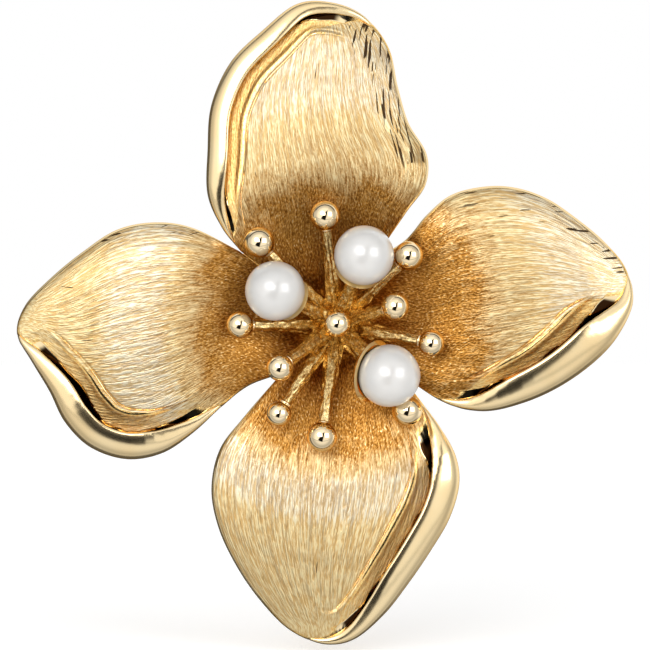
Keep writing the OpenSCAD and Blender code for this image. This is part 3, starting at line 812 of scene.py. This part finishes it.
def add_boss():
    """The domed centre that every stem grows from, scored outwards, with its riveted shank."""
    rings, around = [], 144
    ang = np.linspace(0, 2 * math.pi, around, endpoint=False)
    ring_dir = np.stack([np.cos(ang), np.sin(ang), 0 * ang], 1)
    for r in np.linspace(0.06, BOSS_R - 0.05, 40):
        score = 0.16 * (grain(ang * 9.5, np.full(around, r * 1.3), 7) - 0.5)
        chip = 0.10 * (grain(ang * r * 3.2, np.full(around, r * 3.4), 8) - 0.5)
        up = dome_h(r) + (score + chip) * ease(r / 0.8) * ease((BOSS_R - r) / 0.25)
        rings.append(ring_dir * r + np.array([0, 0, 1.0]) * up[:, None])
    rim = dome_h(BOSS_R - 0.05)
    bevel = 0.06
    for r, h in ((BOSS_R, rim - bevel), (BOSS_R, BOSS_FOOT + bevel), (BOSS_R - bevel, BOSS_FOOT),
                 (SHANK_R, BOSS_FOOT), (SHANK_R, SHANK_END + bevel),
                 (SHANK_R - bevel, SHANK_END), (0.1, SHANK_END)):
        rings.append(ring_dir * r + np.array([0, 0, h]))
    verts, faces = tube(rings)
    finish_piece("centre_boss_skin", verts, faces, M_CENTRE, "centre_boss")


add_boss()

# ---------------------------------------------------------------- carried-over parts
LOOK = {"calyx_cone": M_BACK, "back_plate": M_BACK}
for node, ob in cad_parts.items():
    ob.data.materials.clear()
    ob.data.materials.append(LOOK.get(node, M_FITTING))

# ---------------------------------------------------------------- studio
centre = Vector((AX * MM, AY * MM, AZ * MM))


def add_floor():
    """A wide pale table just under the lowest petal. It glows a little, as paper in a light tent."""
    me = bpy.data.meshes.new("floor")
    n, size = 24, 3.0
    z = cad_box[0].z - 0.0006
    pts = [((i / n - 0.5) * size, (j / n - 0.5) * size, z)
           for j in range(n + 1) for i in range(n + 1)]
    quads = [(j * (n + 1) + i, j * (n + 1) + i + 1, (j + 1) * (n + 1) + i + 1, (j + 1) * (n + 1) + i)
             for j in range(n) for i in range(n)]
    me.from_pydata(pts, [], quads)
    ob = bpy.data.objects.new("floor", me)
    bpy.context.scene.collection.objects.link(ob)
    m = Gloss("floor_white", Roughness=0.8, Emission_Strength=0.29)
    m.bsdf.inputs["Base Color"].default_value = (0.9, 0.9, 0.9, 1)
    m.bsdf.inputs["Emission Color"].default_value = (1, 1, 1, 1)
    me.materials.append(m.mat)
    ob.visible_glossy = False


def add_light(name, offset, size, watts):
    data = bpy.data.lights.new(name, "AREA")
    data.shape = "SQUARE"
    data.size = size
    data.energy = watts
    ob = bpy.data.objects.new(name, data)
    ob.location = centre + Vector(offset)
    ob.rotation_mode = "QUATERNION"
    ob.rotation_quaternion = (centre - ob.location).to_track_quat("-Z", "Y")
    bpy.context.scene.collection.objects.link(ob)


def add_sun(offset, spread, strength):
    """A soft far light from the upper left, which throws the faint shadow to the lower right."""
    data = bpy.data.lights.new("key", "SUN")
    data.angle = math.radians(spread)
    data.energy = strength
    ob = bpy.data.objects.new("key", data)
    ob.rotation_mode = "QUATERNION"
    ob.rotation_quaternion = (-Vector(offset)).to_track_quat("-Z", "Y")
    bpy.context.scene.collection.objects.link(ob)


def add_tent():
    """A bright tent round the camera with a dark gap at the lens, and a dark band at its rim.

    Behind the brooch it grows brighter from the lower left to the upper right. The camera
    itself sees plain white.
    """
    world = bpy.data.worlds.new("studio")
    world.use_nodes = True
    m = Nodes(world.node_tree)
    x, y, z = m.split(m.node("ShaderNodeTexCoord").outputs["Generated"])
    front = m.mul(y, -1.0)
    away = m.maths("DIVIDE", 1.0, m.maths("MAXIMUM", front, 0.08))
    px, pz = m.mul(x, away), m.mul(z, away)
    slant = math.radians(25)
    g = m.add(m.mul(px, math.cos(slant)), m.mul(pz, -math.sin(slant)))
    t = m.add(m.mul(px, math.sin(slant)), m.mul(pz, math.cos(slant)))
    # the gap narrows from its foot, low on the left, to its head, high on the right
    foot, head, foot_half = -0.70, 1.05, 0.38
    half = m.maths("MAXIMUM", m.mul(m.add(m.mul(t, -1.0), head), foot_half / (head - foot)), 0.002)
    gap = m.mul(m.fade(m.maths("DIVIDE", m.maths("ABSOLUTE", g), half), 1.15, 0.85),
                m.fade(t, foot - 0.04, foot + 0.04))
    # the panel left of the gap is a little brighter, and a darker strip runs below both
    panels = m.blend(m.fade(g, -0.05, 0.05), 1.15, 1.0)
    tent = m.blend(m.fade(pz, -0.50, -0.58), panels, 0.62)
    tent = m.blend(m.fade(pz, -0.64, -0.78), tent, 0.92)
    # it dims towards its rim, where the dark band is
    tent = m.mul(tent, m.blend(m.fade(front, 0.7, 0.2), 1.0, 0.55))
    tent = m.blend(gap, tent, 0.01)
    band = m.blend(m.fade(z, 0.3, 0.6), 0.6, 0.05)
    tent = m.blend(m.fade(front, 0.14, 0.02), tent, band)
    behind = m.blend(m.fade(m.add(m.mul(x, 0.8), z), -0.35, 0.55), 0.12, 1.0)
    all_round = m.blend(m.fade(front, -0.05, -0.2), tent, behind)
    seen = m.node("ShaderNodeLightPath").outputs["Is Camera Ray"]
    strength = m.blend(seen, all_round, 1.0)
    back = world.node_tree.nodes["Background"]
    back.inputs[0].default_value = (1, 1, 1, 1)
    m.feed(back.inputs[1], strength)
    bpy.context.scene.world = world


def add_camera():
    """Looks straight at the flower's face along +Y."""
    wide = 54.2 * MM
    aim = Vector((0.0, -8.2 * MM, -4.6 * MM))
    data = bpy.data.cameras.new("camera")
    data.lens, data.sensor_width = 135, 36
    data.clip_start, data.clip_end = 0.01, 10
    cam = bpy.data.objects.new("camera", data)
    bpy.context.scene.collection.objects.link(cam)
    cam.location = aim - Vector((0, wide * data.lens / data.sensor_width, 0))
    cam.rotation_mode = "QUATERNION"
    cam.rotation_quaternion = Vector((0, 1, 0)).to_track_quat("-Z", "Y")
    bpy.context.scene.camera = cam


add_floor()
add_sun((-0.75, -1.9, 0.7), spread=34, strength=0.55)
add_light("side", (0.28, -0.34, 0.09), size=0.24, watts=0.42)
add_light("front", (-0.06, -0.44, 0.09), size=0.16, watts=0.25)
add_tent()
add_camera()

view = bpy.context.scene.view_settings
view.view_transform = "Standard"
view.look = "None"
view.exposure = 0.0
